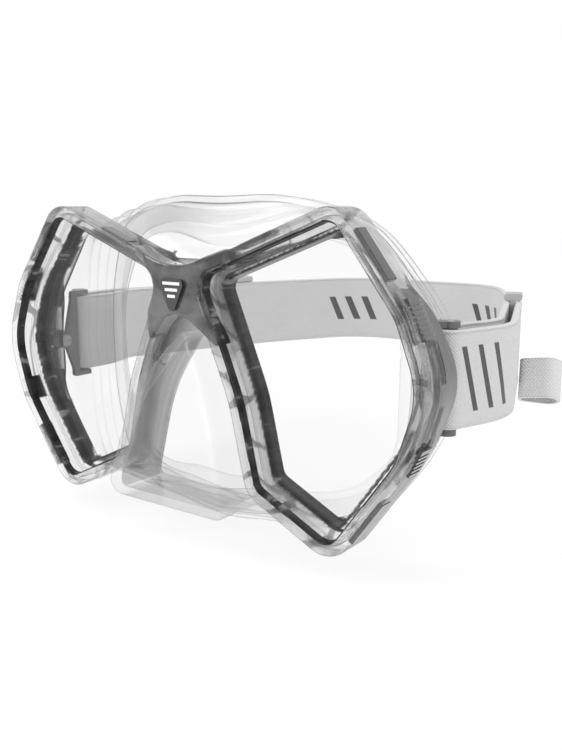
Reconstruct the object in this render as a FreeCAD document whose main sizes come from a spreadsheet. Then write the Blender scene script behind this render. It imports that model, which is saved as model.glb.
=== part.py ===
"""Two-lens diving mask with a swivel strap, as a parametric FreeCAD document.

+X is the wearer's left, +Y points from the glass to the face, +Z is up, and the origin is the middle
of the flat badge on the nose bridge. Depths are given from the front plane of the two bezels, and
heights from the middle of the eyes. Lengths are millimetres.
"""

import FreeCAD, Part

import math
import os

import Sketcher

V = FreeCAD.Vector
OUT = "parts"

# ------------------------------------------------------------------ driving dimensions
DIMENSIONS = {
    # where the bezel plane and the middle of the eyes lie, seen from the badge
    "bezel_back": 3.0, "eye_drop": 23.0,
    # the corners of one eye opening and the radius at each
    "nose_x": 8.2, "nose_z": 27.8, "nose_round": 5.5,
    "brow_x": 54.5, "brow_z": 45.5, "brow_round": 5.0,
    "upper_x": 73.5, "upper_z": 20.5, "upper_round": 20.0,
    "temple_x": 80.5, "temple_z": 2.0, "temple_round": 22.0,
    "lower_x": 74.5, "lower_drop": 17.0, "lower_round": 25.0,
    "cheek_x": 54.5, "cheek_drop": 45.0, "cheek_round": 5.5,
    "lobe_x": 28.8, "lobe_drop": 32.5, "lobe_round": 4.5,
    "bow_x": 22.8, "bow_drop": 7.0, "bow_round": 60.0,
    # section through a rim, front to back
    "rim_wide": 4.2, "bezel_deep": 3.0, "rim_deep": 11.0, "lens_lap": 1.9, "lens_thick": 3.4,
    "flange_thick": 2.0, "slack": 0.06, "neck_inset": 0.6, "edge_round": 1.1,
    # nose bridge and badge
    "saddle_half": 20.0, "saddle_end_z": 37.6, "saddle_z": 33.0, "saddle_waist": 12.5, "waist_z": 16.0,
    "arch_foot_x": 15.0, "arch_foot_z": 6.0, "arch_z": 20.0, "cap_half": 5.5, "cap_low": 24.0,
    "bridge_front": 0.6,
    "trim_thick": 1.4, "badge_half": 5.6, "badge_up": 4.6, "badge_down": 6.2,
    "badge_round": 1.6, "inlay_deep": 0.5, "inlay_tall": 0.9, "inlay_step": 1.9,
    # dark keys that lock each bezel to the frame
    "key_proud": 0.15, "key_sunk": 1.25, "key_front": 1.3, "key_wide": 4.2, "key_long": 16.0,
    "key_short": 12.0,
    # skirt
    "skin": 2.2, "neck_skin": 1.9, "face_radius": 130.0, "face_start": 22.0, "seal_wide": 9.0,
    "shoulder_thick": 1.7, "mouth_inset": 2.5, "skirt_front": 11.3, "skirt_bend": 14.0, "skirt_mid": 22.0, "skirt_end": 50.0,
    # temple carrier
    "band_thick": 1.8, "band_out": 0.7, "band_top": 27.5, "band_drop": 22.5, "band_rear": 20.5,
    "band_tip": 14.5, "band_round": 46.0, "lug_x": 77.2, "lug_thick": 3.2, "lug_round": 3.6,
    "window_rear": 14.6,
    # swivel link, stud and roller
    "pivot_y": 16.7, "pivot_z": -0.2, "stud_round": 1.6, "stud_end": 80.9, "stud_head": 2.2,
    "head_thick": 0.7,
    "link_in": 72.7, "link_thick": 1.5, "hub_round": 2.8, "roller_x": 76.6, "roller_y": 26.8,
    "roller_round": 2.0, "pin_round": 1.0, "ear_round": 2.6, "ear_thick": 1.8,
    # release buttons
    "button_sunk": 1.0, "button_thick": 1.4, "button_front": 3.4, "button_wide": 5.6,
    "button_long": 12.0, "button_short": 8.5, "button_shift": 2.0, "rib_deep": 0.5, "rib_step": 1.4,
    "press": 2.0,
    # strap, keepers and pull loops
    "strap_wide": 28.0, "strap_thick": 2.0, "strap_z": 1.8, "ply_gap": 2.2,
    "keeper_long": 9.0, "keeper_web": 2.0, "keeper_tall": 33.0, "tape_thick": 1.2, "tape_wide": 15.0,
    "loop_out": 15.0, "loop_wide": 11.0,
}

doc = FreeCAD.newDocument("diving_mask")
sheet = doc.addObject("Spreadsheet::Sheet", "dims")
for row, (name, value) in enumerate(DIMENSIONS.items(), start=1):
    sheet.set(f"A{row}", name)
    sheet.set(f"B{row}", str(value))
    sheet.setAlias(f"B{row}", name)
doc.recompute()


class Dim:
    """A length that knows both its number and the spreadsheet expression behind it."""

    def __init__(self, value, expr):
        self.value, self.expr = float(value), expr

    @staticmethod
    def of(other):
        return other if isinstance(other, Dim) else Dim(other, repr(float(other)))

    def __add__(self, other):
        other = Dim.of(other)
        return Dim(self.value + other.value, f"({self.expr} + {other.expr})")

    def __sub__(self, other):
        other = Dim.of(other)
        return Dim(self.value - other.value, f"({self.expr} - {other.expr})")

    def __mul__(self, other):
        other = Dim.of(other)
        return Dim(self.value * other.value, f"({self.expr} * {other.expr})")

    def __truediv__(self, other):
        other = Dim.of(other)
        return Dim(self.value / other.value, f"({self.expr} / {other.expr})")

    def __neg__(self):
        return Dim(-self.value, f"(-1 * {self.expr})")

    __radd__ = __add__
    __rmul__ = __mul__

    def __rsub__(self, other):
        return Dim.of(other) - self


class Sheet:
    """Reads a cell of the spreadsheet by its alias, as a Dim."""

    def __getattr__(self, name):
        return Dim(sheet.get(name), f"dims.{name}")


d = Sheet()
finished = []

# The mask is drawn from the middle of the eyes on the bezels' front plane. These carry it to the
# row's own origin, the middle of the badge.
FRONT, EYES = d.bezel_back, -d.eye_drop


def bind(obj, prop, dim):
    """Ties a property of obj to the spreadsheet."""
    obj.setExpression(prop, Dim.of(dim).expr)


def finish(obj, name):
    """Names a finished sub-part."""
    obj.Label = name
    finished.append(obj)
    return obj


def mirrored(source, name):
    """The wearer's-right copy of a finished wearer's-left sub-part."""
    twin = doc.addObject("Part::Mirroring", name)
    twin.Source = source
    twin.Base = V(0, 0, 0)
    twin.Normal = V(1, 0, 0)
    twin.Label = name
    finished.append(twin)
    return twin


def twin(name, source):
    """The wearer's-right copy of a shape that is still being worked on."""
    other = doc.addObject("Part::Mirroring", name)
    other.Source = source
    other.Normal = V(1, 0, 0)
    return other


def pair(obj, stem):
    """Finishes a left-hand piece and makes its right-hand twin."""
    finish(obj, stem + "_left")
    return obj, mirrored(obj, stem + "_right")


# ------------------------------------------------------------------ sketch helpers
def fix_point(sketch, geo, pos, x, y):
    """Dimensions one point of a sketch from its origin, bound to the spreadsheet."""
    for kind, dim in (("DistanceX", x), ("DistanceY", y)):
        dim = Dim.of(dim)
        index = sketch.addConstraint(Sketcher.Constraint(kind, -1, 1, geo, pos, dim.value))
        sketch.setExpression(f"Constraints[{index}]", dim.expr)


def polygon(sketch, corners):
    """A closed polygon through corners, each an (x, y) pair of Dims or numbers."""
    points = [V(Dim.of(x).value, Dim.of(y).value, 0) for x, y in corners]
    count = len(points)
    for i in range(count):
        sketch.addGeometry(Part.LineSegment(points[i], points[(i + 1) % count]), False)
    for i in range(count):
        sketch.addConstraint(Sketcher.Constraint("Coincident", i, 2, (i + 1) % count, 1))
    for i, (x, y) in enumerate(corners):
        fix_point(sketch, i, 1, x, y)
    return sketch


def box_outline(sketch, x0, y0, x1, y1):
    return polygon(sketch, [(x0, y0), (x1, y0), (x1, y1), (x0, y1)])


def fillet_arc(before, corner, after, radius):
    """(centre, tangent point on the way in, tangent point on the way out) of a rounded corner."""
    u, w = (before - corner).normalize(), (after - corner).normalize()
    half = u.getAngle(w) / 2
    centre = corner + (u + w).normalize() * (radius / math.sin(half))
    reach = radius / math.tan(half)
    return centre, corner + u * reach, corner + w * reach


def rounded_outline(sketch, corners):
    """A closed outline of straight sides and tangent arcs. Each corner is (x, y, radius) in Dims.

    A construction point stands at every sharp corner, where both sides meet it, so the outline
    follows the spreadsheet when a corner or a radius changes."""
    sharp = [V(Dim.of(x).value, Dim.of(y).value, 0) for x, y, _ in corners]
    count = len(corners)
    arcs = [fillet_arc(sharp[i - 1], sharp[i], sharp[(i + 1) % count], Dim.of(corners[i][2]).value)
            for i in range(count)]
    forward, ends = [], []
    for i, (centre, p, q) in enumerate(arcs):
        start = math.atan2(p.y - centre.y, p.x - centre.x)
        stop = math.atan2(q.y - centre.y, q.x - centre.x)
        ccw = (stop - start) % (2 * math.pi) < math.pi
        first, last = (start, stop) if ccw else (stop, start)
        rim = Part.Circle(centre, V(0, 0, 1), Dim.of(corners[i][2]).value)
        forward.append(sketch.addGeometry(Part.ArcOfCircle(rim, first, last), False))
        ends.append((1, 2) if ccw else (2, 1))
    for i in range(count):
        j = (i + 1) % count
        line = sketch.addGeometry(Part.LineSegment(arcs[i][2], arcs[j][1]), False)
        sketch.addConstraint(Sketcher.Constraint("Tangent", forward[i], ends[i][1], line, 1))
        sketch.addConstraint(Sketcher.Constraint("Tangent", line, 2, forward[j], ends[j][0]))
    for i, (x, y, radius) in enumerate(corners):
        index = sketch.addConstraint(
            Sketcher.Constraint("Radius", forward[i], Dim.of(radius).value))
        sketch.setExpression(f"Constraints[{index}]", Dim.of(radius).expr)
        point = sketch.addGeometry(Part.Point(sharp[i]), True)
        fix_point(sketch, point, 1, x, y)
        for line in (count + (i - 1) % count, count + i):
            sketch.addConstraint(Sketcher.Constraint("PointOnObject", point, 1, line))
    return sketch


# ------------------------------------------------------------------ Part helpers
def offset_outline(source, name, distance):
    """The outline of source moved outward by distance, as its own object."""
    outline = doc.addObject("Part::Offset2D", name)
    outline.Source = source
    outline.Join = "Arc"
    bind(outline, "Value", distance)
    return outline


def slab(name, outline, start, end):
    """outline, which lies in the XZ plane, made solid from y = start to y = end."""
    solid = doc.addObject("Part::Extrusion", name)
    solid.Base = outline
    solid.DirMode = "Custom"
    solid.Dir = V(0, 1, 0)
    solid.Solid = True
    bind(solid, "LengthFwd", Dim.of(end) - start)
    bind(solid, "Placement.Base.y", start)
    return solid


def fuse(name, *shapes):
    joined = doc.addObject("Part::MultiFuse", name)
    joined.Shapes = list(shapes)
    return joined


def cut(name, base, *tools):
    """base less every tool."""
    for i, tool in enumerate(tools):
        less = doc.addObject("Part::Cut", f"{name}_{i}")
        less.Base, less.Tool = base, tool
        base = less
    return base


def rounded_edges(name, base, radius, wanted):
    """A Part::Fillet on the edges of base that wanted() picks."""
    doc.recompute()
    rounding = doc.addObject("Part::Fillet", name)
    rounding.Base = base
    rounding.Edges = [(i, radius.value, radius.value)
                      for i, edge in enumerate(base.Shape.Edges, start=1) if wanted(edge)]
    return rounding


def at_y(y):
    """Picks the edges that lie in the plane y."""
    return lambda edge: abs(edge.BoundBox.YMin - y) < 1e-3 and abs(edge.BoundBox.YMax - y) < 1e-3


# ------------------------------------------------------------------ the eye outline
EYE = [
    (d.nose_x, d.nose_z, d.nose_round),
    (d.brow_x, d.brow_z, d.brow_round),
    (d.upper_x, d.upper_z, d.upper_round),
    (d.temple_x, d.temple_z, d.temple_round),
    (d.lower_x, -d.lower_drop, d.lower_round),
    (d.cheek_x, -d.cheek_drop, d.cheek_round),
    (d.lobe_x, -d.lobe_drop, d.lobe_round),
    (d.bow_x, -d.bow_drop, d.bow_round),
]
BROW_SIDE, TEMPLE_SIDE = (0, 1), (1, 2)
LOWER_SIDE = (4, 5)


def xz_sketch(name, y=0):
    """A free sketch whose paper is the XZ plane at y."""
    sketch = doc.addObject("Sketcher::SketchObject", name)
    sketch.Placement = FreeCAD.Placement(V(0, 0, 0), FreeCAD.Rotation(V(1, 0, 0), 90))
    bind(sketch, "Placement.Base.y", FRONT + y)
    bind(sketch, "Placement.Base.z", EYES)
    return sketch


def yz_sketch(name, x=0):
    """A free sketch whose paper is the YZ plane at x."""
    sketch = doc.addObject("Sketcher::SketchObject", name)
    sketch.Placement = FreeCAD.Placement(V(0, 0, 0), FreeCAD.Rotation(V(1, 1, 1), 120))
    for axis, value in (("x", x), ("y", FRONT), ("z", EYES)):
        bind(sketch, f"Placement.Base.{axis}", value)
    return sketch


def xy_sketch(name, z=0):
    """A free sketch whose paper is the XY plane at z."""
    sketch = doc.addObject("Sketcher::SketchObject", name)
    bind(sketch, "Placement.Base.y", FRONT)
    bind(sketch, "Placement.Base.z", EYES + z)
    return sketch


def along_x(name, outline, length):
    """outline, drawn on a YZ sketch, made solid for length along +X."""
    return extruded(name, outline, V(1, 0, 0), length)


def along_z(name, outline, length):
    """outline, drawn on an XY sketch, made solid for length along +Z."""
    return extruded(name, outline, V(0, 0, 1), length)


def extruded(name, outline, way, length):
    solid = doc.addObject("Part::Extrusion", name)
    solid.Base = outline
    solid.DirMode = "Custom"
    solid.Dir = way
    solid.Solid = True
    bind(solid, "LengthFwd", length)
    return solid


def box(name, x0, x1, y0, y1, z0, z1):
    solid = doc.addObject("Part::Box", name)
    for prop, low, high in (("Length", x0, x1), ("Width", y0, y1), ("Height", z0, z1)):
        bind(solid, prop, Dim.of(high) - low)
    for axis, low in (("x", x0), ("y", FRONT + y0), ("z", EYES + z0)):
        bind(solid, f"Placement.Base.{axis}", low)
    return solid


def cylinder(name, way, x, y, z, radius, length):
    """A cylinder from (x, y, z) for length along way, which is V(1, 0, 0) or V(0, 0, 1)."""
    solid = doc.addObject("Part::Cylinder", name)
    solid.Placement.Rotation = FreeCAD.Rotation(V(0, 0, 1), way)
    bind(solid, "Radius", radius)
    bind(solid, "Height", length)
    for axis, value in (("x", x), ("y", FRONT + y), ("z", EYES + z)):
        bind(solid, f"Placement.Base.{axis}", value)
    return solid


def common(name, one, other):
    shared = doc.addObject("Part::MultiCommon", name)
    shared.Shapes = [one, other]
    return shared


opening = rounded_outline(xz_sketch("eye_opening"), EYE)


def outline(name, outward):
    """The eye opening grown outward all round."""
    return offset_outline(opening, name, outward) if Dim.of(outward).value else opening


def ring(name, inner, outer, start, end):
    """A band round the eye, between two distances outward of the opening, from y start to end."""
    body = slab(name + "_solid", outline(name + "_outer", outer), start, end)
    hole = slab(name + "_hole", outline(name + "_inner", inner), start, end)
    return cut(name, body, hole)


def side_point(side, along, outward):
    """A point on a straight side of the opening: its distance from the side's first corner and out
    from the side, in the XZ plane, with the side's direction and outward normal."""
    first, last = (V(EYE[i][0].value, 0, (EYES + EYE[i][1]).value) for i in side)
    way = (last - first).normalize()
    out = V(-way.z, 0, way.x)
    return first + way * along + out * outward, way, out


# ------------------------------------------------------------------ lock keys
def key_block(name, side, along, length, grow):
    """A key's block on one side of the rim, grown all round by grow."""
    point, way, out = side_point(side, along - grow.value, (d.rim_wide - d.key_sunk - grow).value)
    block = doc.addObject("Part::Box", name)
    bind(block, "Length", length + grow * 2)
    bind(block, "Width", d.key_wide + grow * 2)
    bind(block, "Height", d.key_sunk + d.key_proud + grow * 2)
    turn = math.degrees(math.atan2(-way.z, way.x))
    block.Placement = FreeCAD.Placement(point, FreeCAD.Rotation(V(0, 1, 0), turn))
    bind(block, "Placement.Base.y", FRONT + d.key_front - grow)
    return block


KEYS = [
    ("temple", TEMPLE_SIDE, 6.0, d.key_long),
    ("brow", BROW_SIDE, 17.0, d.key_short),
    ("cheek", LOWER_SIDE, 12.0, d.key_long),
]
slots = [key_block(f"{name}_slot", side, along, length, d.slack)
         for name, side, along, length in KEYS]
for name, side, along, length in KEYS:
    pair(key_block(f"{name}_key_block", side, along, length, Dim.of(0)), f"{name}_key")

# ------------------------------------------------------------------ release buttons
def corner_frame(i, shift):
    """The outer wall near corner i of the eye, with the wall's mean direction and normal there."""
    before, corner, after = (V(EYE[j][0].value, 0, EYE[j][1].value) for j in (i - 1, i, i + 1))
    way_in, way_out = (corner - before).normalize(), (after - corner).normalize()
    way = (way_in + way_out).normalize()
    out = V(-way.z, 0, way.x)
    sag = EYE[i][2].value * (1 / math.cos(way_in.getAngle(way_out) / 2) - 1)
    middle = corner + out * (d.rim_wide.value - sag) + way * shift
    return middle + V(0, FRONT.value, EYES.value), way, out


def pad_at(name, middle, way, out, low, high, sunk, thick, front, wide):
    """A flat block on the rim's outer wall, from low to high along way."""
    block = doc.addObject("Part::Box", name)
    bind(block, "Length", high - low)
    bind(block, "Width", wide)
    bind(block, "Height", thick)
    turn = math.degrees(math.atan2(-way.z, way.x))
    corner = middle + way * low.value - out * sunk.value
    block.Placement = FreeCAD.Placement(corner, FreeCAD.Rotation(V(0, 1, 0), turn))
    bind(block, "Placement.Base.y", FRONT + front)
    return block


def button(name, middle, way, out, length):
    """A flat ribbed pad that slides in its recess along the rim's outer wall."""
    thick, valley = d.button_thick, d.button_thick - d.rib_deep
    points = [(0, 0), (length, 0), (length, thick)]
    for i in range(int((length.value - 1.0) / d.rib_step.value)):
        right = length - d.rib_step * (i + 0.6)
        left = right - d.rib_step * 0.45
        points += [(right, thick), (right, valley), (left, valley), (left, thick)]
    points.append((0, thick))
    sketch = doc.addObject("Sketcher::SketchObject", name + "_profile")
    start = middle - out * d.button_sunk.value - way * (length.value / 2)
    start += V(0, d.button_front.value, 0)
    sketch.Placement = FreeCAD.Placement(start, FreeCAD.Rotation(way, out, way.cross(out), "ZXY"))
    polygon(sketch, points)
    return extruded(name, sketch, V(0, 1, 0), d.button_wide)


BUTTONS = []
recesses = []
for name, corner, length, sign in (("button_upper", 2, d.button_long, 1),
                                   ("button_lower", 4, d.button_short, -1)):
    middle, way, out = corner_frame(corner, d.button_shift.value * sign)
    near = -length / 2 - 0.1 - (d.press if sign < 0 else 0)
    far = length / 2 + 0.1 + (d.press if sign > 0 else 0)
    BUTTONS.append((name, middle, way, out, length, near, far))
    recesses.append(pad_at(name + "_recess", middle, way, out, near, far, d.button_sunk + 0.1,
                           d.button_sunk + 3, d.button_front - 0.1, d.button_wide + 0.2))

# ------------------------------------------------------------------ bezel and lens
bezel_ring = ring("bezel_ring", 0, d.rim_wide, 0, d.bezel_deep)
bezel_soft = rounded_edges("bezel_soft", bezel_ring, d.edge_round, at_y(FRONT.value))
bezel, _ = pair(cut("bezel_cut", bezel_soft, *slots), "bezel")

lens_back = d.bezel_deep + d.lens_thick
lens, _ = pair(slab("lens_glass", outline("lens_edge", d.lens_lap), d.bezel_deep, lens_back), "lens")

# ------------------------------------------------------------------ nose bridge
SADDLE = [
    (-d.saddle_half, d.saddle_end_z, 1.0),
    (-d.saddle_waist, d.waist_z, 8.0),
    (-d.arch_foot_x, d.arch_foot_z, 0.8),
    (0, d.arch_z, 9.0),
    (d.arch_foot_x, d.arch_foot_z, 0.8),
    (d.saddle_waist, d.waist_z, 8.0),
    (d.saddle_half, d.saddle_end_z, 1.0),
    (0, d.saddle_z - 3.2, 26.0),
]
saddle = rounded_outline(xz_sketch("saddle"), SADDLE)
trim_front = -(d.bridge_front + d.trim_thick)
saddle_solid = slab("saddle_solid", saddle, trim_front, d.rim_deep - 2)
core_outline = offset_outline(saddle, "core_outline", -d.trim_thick)
core = slab("core", core_outline, -d.bridge_front, d.rim_deep)
bezel_room = slab("bezel_room", outline("bezel_room_edge", d.rim_wide + d.slack), -6, d.bezel_deep)
bezel_room_right = twin("bezel_room_right", bezel_room)
eye_room = slab("eye_room", outline("eye_room_edge", 1.0), -20, 60)
eye_room_right = twin("eye_room_right", eye_room)

lens_room = slab("lens_room", outline("lens_room_edge", d.lens_lap + d.slack), -20, 60)
lens_room_right = twin("lens_room_right", lens_room)

# ------------------------------------------------------------------ main frame
flange_back = lens_back + d.flange_thick
wall = ring("wall", d.lens_lap + d.slack, d.rim_wide, d.bezel_deep, flange_back)
lip = ring("lip", d.slack - d.neck_inset, d.rim_wide, flange_back, d.rim_deep)
half_frame = cut("half_frame", fuse("half_rim", wall, lip), *slots, *recesses)
half_frame_right = twin("half_frame_right", half_frame)
bridge_core = cut("bridge_core", core, bezel_room, bezel_room_right, lens_room, lens_room_right)
main_frame = finish(fuse("main_frame_all", half_frame, half_frame_right, bridge_core), "main_frame")

# The trim is a dark cover over the front and the top of the bridge.
skin_front = slab("trim_skin", saddle, trim_front, -d.bridge_front - d.slack)
cap_zone = box("cap_zone", -d.cap_half, d.cap_half, trim_front, d.rim_deep - 2, d.cap_low, 40)
grown_core = slab("grown_core", offset_outline(saddle, "grown_core_outline", d.slack - d.trim_thick),
                  -d.bridge_front - d.slack, 60)
cap = common("cap", saddle_solid, cap_zone)
trim_all = cut("trim_all", fuse("trim_pieces", skin_front, cap), grown_core, eye_room, eye_room_right)
finish(trim_all, "bridge_trim")

# ------------------------------------------------------------------ badge
badge_z = d.eye_drop
BADGE = [
    (-d.badge_half, badge_z + d.badge_up, d.badge_round),
    (0, badge_z - d.badge_down - 1.0, d.badge_round),
    (d.badge_half, badge_z + d.badge_up, d.badge_round),
]
badge_front = -d.bezel_back
badge_solid = slab("badge_solid", rounded_outline(xz_sketch("badge_outline"), BADGE), badge_front,
                   trim_front)
bars = []
for i, half in enumerate((0.62, 0.45, 0.28)):
    low = badge_z + d.badge_up - d.inlay_step * (i + 1)
    bars.append(box(f"inlay_{i}", -d.badge_half * half, d.badge_half * half, badge_front,
                    badge_front + d.inlay_deep, low, low + d.inlay_tall))
finish(cut("badge_cut", badge_solid, *bars), "nose_badge")
for bar, name in zip(bars, ("upper", "middle", "lower")):
    finish(bar, f"badge_bar_{name}")

# ------------------------------------------------------------------ skirt
RIMS = [
    (d.skirt_front, [(16, 30.5, 14), (52.5, 43, 7), (76, 6, 28), (72, -17, 26), (54, -42.5, 6),
                     (25, -41, 7)]),
    (d.skirt_bend, [(20, 37, 18), (53, 43.6, 9), (71.9, 16, 20), (71.4, -18, 24), (53.5, -43.5, 8),
                    (26, -46, 9)]),
    (d.skirt_mid, [(26, 51.5, 36), (53.5, 44.8, 14), (71.9, 16, 22), (71.8, -18, 24), (55.5, -44, 14),
                   (27, -54.5, 12)]),
    (d.skirt_end, [(26, 51.5, 36), (50, 42, 14), (71.6, 15, 26), (70, -20, 24), (52, -43, 14),
                   (27, -54, 12)]),
]


def whole_rim(name, half, y):
    """A closed outline across both eyes from its left half, in the XZ plane at y."""
    other = [(-x, z, r) for x, z, r in reversed(half)]
    return rounded_outline(xz_sketch(name, y), half + other)


def bowl(name, shrink, shift):
    """The space behind the frame out to the skirt's wall, less shrink all round."""
    sections = []
    for i, (y, half) in enumerate(RIMS):
        rim = whole_rim(f"{name}_rim_{i}", half, y + shift)
        sections.append(offset_outline(rim, f"{name}_section_{i}", -shrink) if shrink else rim)
    loft = doc.addObject("Part::Loft", name)
    loft.Sections = sections
    loft.Solid = True
    loft.Ruled = True
    return loft


def face(name, radius, start):
    """The face, as an upright cylinder whose foremost line is at y start."""
    return cylinder(name, V(0, 0, 1), 0, start + radius, -100, radius, 200)


NOSE = [(0, 13.5, 3), (15.5, -8.5, 60), (24.6, -42.5, 4)]
NOSE_SIDE_VIEW = [(16, 16), (2, 11.5), (-1.0, 5), (-6.4, -10), (-9.6, -37), (-7.5, -43), (16, -43)]


def nose_wedge(name, shrink):
    """The nose pocket: a triangle seen from the front, cut to its slope seen from the side."""
    corners = NOSE + [(-x, z, r) for x, z, r in reversed(NOSE[1:])]
    front = rounded_outline(xz_sketch(name + "_front"), corners)
    if shrink:
        front = offset_outline(front, name + "_front_in", -shrink)
    side = polygon(yz_sketch(name + "_side", -40), NOSE_SIDE_VIEW)
    if shrink:
        side = offset_outline(side, name + "_side_in", -shrink)
    return common(name, slab(name + "_slab", front, -20, d.skirt_mid - 2),
                  along_x(name + "_block", side, 80))


skin = d.skin
face_front = face("face_front", d.face_radius, d.face_start)
shell_out = fuse("shell_out", bowl("bowl_out", 0, 0), nose_wedge("nose_out", 0))
hollow = fuse("hollow", bowl("bowl_in", skin.value, skin), nose_wedge("nose_in", skin.value))
shoulder = slab("shoulder", outline("shoulder_edge", -d.neck_inset), d.skirt_front,
                d.skirt_front + d.shoulder_thick)
shoulder_right = twin("shoulder_right", shoulder)
mouth_rim = whole_rim("mouth_rim", RIMS[1][1], 0)
mouth = slab("mouth", offset_outline(mouth_rim, "mouth_edge", -d.mouth_inset), 0, d.skirt_mid - 3)
eye_hole = common("eye_hole", mouth, slab("eye_hole_slab", outline(
    "eye_hole_edge", -d.neck_inset - d.neck_skin), 0, d.skirt_mid - 3))
eye_hole_right = twin("eye_hole_right", eye_hole)
walls = cut("walls", shell_out, hollow, face_front)
seal_back = face("seal_back", d.face_radius + skin, d.face_start - skin)
seal_zone = cut("seal_zone", seal_back, face_front)
seal_hole = slab("seal_hole", offset_outline(whole_rim("seal_rim", RIMS[-1][1], 0), "seal_edge",
                                             -d.seal_wide), 0, 60)
seal = cut("seal", common("seal_band", bowl("bowl_seal", 0, 0), seal_zone), seal_hole)
neck_in = -d.neck_inset - d.neck_skin
neck = ring("neck", neck_in, -d.neck_inset, flange_back, d.skirt_front + 1.6)
flange = ring("flange", neck_in, d.lens_lap, lens_back, flange_back)
eye_seat = fuse("eye_seat", neck, flange)
eye_seat_right = twin("eye_seat_right", eye_seat)
skirt_walls = fuse("skirt_walls", walls, seal, shoulder, shoulder_right)
skirt_body = cut("skirt_body", skirt_walls, eye_hole, eye_hole_right)
frame_room = slab("frame_room", outline("frame_room_edge", d.rim_wide + 0.2), -1, d.rim_deep + 0.1)
frame_room_right = twin("frame_room_right", frame_room)
skirt_clear = cut("skirt_clear", skirt_body, frame_room, frame_room_right, core)
skirt = finish(fuse("skirt_all", skirt_clear, eye_seat, eye_seat_right), "skirt")

# ------------------------------------------------------------------ temple carrier
pivot_y, pivot_z = d.pivot_y, d.pivot_z
band_middle = (d.band_top - d.band_drop) / 2
CRESCENT = [
    (d.rim_deep, d.band_top, 0.5),
    (d.rim_deep, -d.band_drop, 0.5),
    (d.band_tip, -d.band_drop, 1.5),
    (d.band_rear + 5.4, band_middle, d.band_round),
    (d.band_tip, d.band_top, 1.5),
]
crescent = along_x("crescent", rounded_outline(yz_sketch("crescent_side", 50), CRESCENT), 45)
band = ring("band", d.band_out, d.band_out + d.band_thick, d.rim_deep, d.band_rear + 1)
windows = [box(f"window_{i}", 60, 90, d.rim_deep + 0.6, d.window_rear, low, high)
           for i, (low, high) in enumerate(((3.0, 13.6), (-11.5, -3.4)))]
arc = cut("arc", common("arc_solid", band, crescent), *windows)
lug = cylinder("lug", V(1, 0, 0), d.lug_x, pivot_y, pivot_z, d.lug_round, d.lug_thick)
bore = cylinder("bore", V(1, 0, 0), 60, pivot_y, pivot_z, d.stud_round + d.slack, d.stud_end - 59.9)
pair(cut("carrier", fuse("carrier_all", arc, lug), bore), "temple_carrier")

# ------------------------------------------------------------------ swivel link, stud, roller
half_gap = d.strap_wide / 2 + 0.3
half_link = half_gap + d.ear_thick
link_low, link_high = d.strap_z - half_link, d.strap_z + half_link
bar_front, bar_rear = pivot_y + 3.1, d.roller_y - 4.5
LINK = [
    (pivot_y, pivot_z - d.hub_round + 0.1, 0.1),
    (bar_front, link_low + 3, 2.0),
    (bar_front, link_low, 1.0),
    (bar_rear, link_low, 1.0),
    (bar_rear, link_high, 1.0),
    (bar_front, link_high, 1.0),
    (bar_front, link_high - 3, 2.0),
    (pivot_y, pivot_z + d.hub_round - 0.1, 0.1),
]
blade = along_x("blade", rounded_outline(yz_sketch("blade_side", d.link_in), LINK), d.link_thick)
hub_long = d.lug_x - d.slack * 1.5 - d.link_in
hub = cylinder("hub", V(1, 0, 0), d.link_in, pivot_y, pivot_z, d.hub_round, hub_long)
ears = []
for name, base in (("low", link_low), ("high", d.strap_z + half_gap)):
    ears.append(cylinder(f"ear_{name}", V(0, 0, 1), d.roller_x, d.roller_y, base, d.ear_round,
                         d.ear_thick))
    arm = polygon(xy_sketch(f"arm_outline_{name}", base), [
        (d.link_in, bar_front + 1), (d.link_in + d.link_thick, bar_front + 1),
        (d.link_in + d.link_thick, bar_rear), (d.roller_x, d.roller_y - d.ear_round),
        (d.roller_x, d.roller_y + 1), (d.link_in, d.roller_y + 1)])
    ears.append(along_z(f"ear_arm_{name}", arm, d.ear_thick))
pin_hole = cylinder("pin_hole", V(0, 0, 1), d.roller_x, d.roller_y, -40, d.pin_round + d.slack, 90)
head_room = cylinder("head_room", V(1, 0, 0), 60, pivot_y, pivot_z, d.stud_head + d.slack,
                     d.link_in + d.head_thick + d.slack - 60)
pair(cut("link", fuse("link_all", blade, hub, *ears), bore, head_room, pin_hole), "swivel_link")

shank = cylinder("shank", V(1, 0, 0), d.link_in, pivot_y, pivot_z, d.stud_round,
                 d.stud_end - d.link_in)
head = cylinder("head", V(1, 0, 0), d.link_in, pivot_y, pivot_z, d.stud_head, d.head_thick)
socket = box("socket", d.link_in - 1, d.link_in + 0.4, pivot_y - 1.5, pivot_y + 1.5, pivot_z - 0.3,
             pivot_z + 0.3)
pair(cut("stud", fuse("stud_all", shank, head), socket), "pivot_stud")

pair(cylinder("pin", V(0, 0, 1), d.roller_x, d.roller_y, link_low, d.pin_round, half_link * 2),
     "roller_pin")
roller_half = half_gap - 0.1
tube = cylinder("tube", V(0, 0, 1), d.roller_x, d.roller_y, d.strap_z - roller_half, d.roller_round,
                roller_half * 2)
pair(cut("roller", tube, pin_hole), "strap_roller")

# ------------------------------------------------------------------ release buttons
for name, corner, way, out, length, near, far in BUTTONS:
    pair(button(name, corner, way, out, length), "release_" + name)

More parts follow.
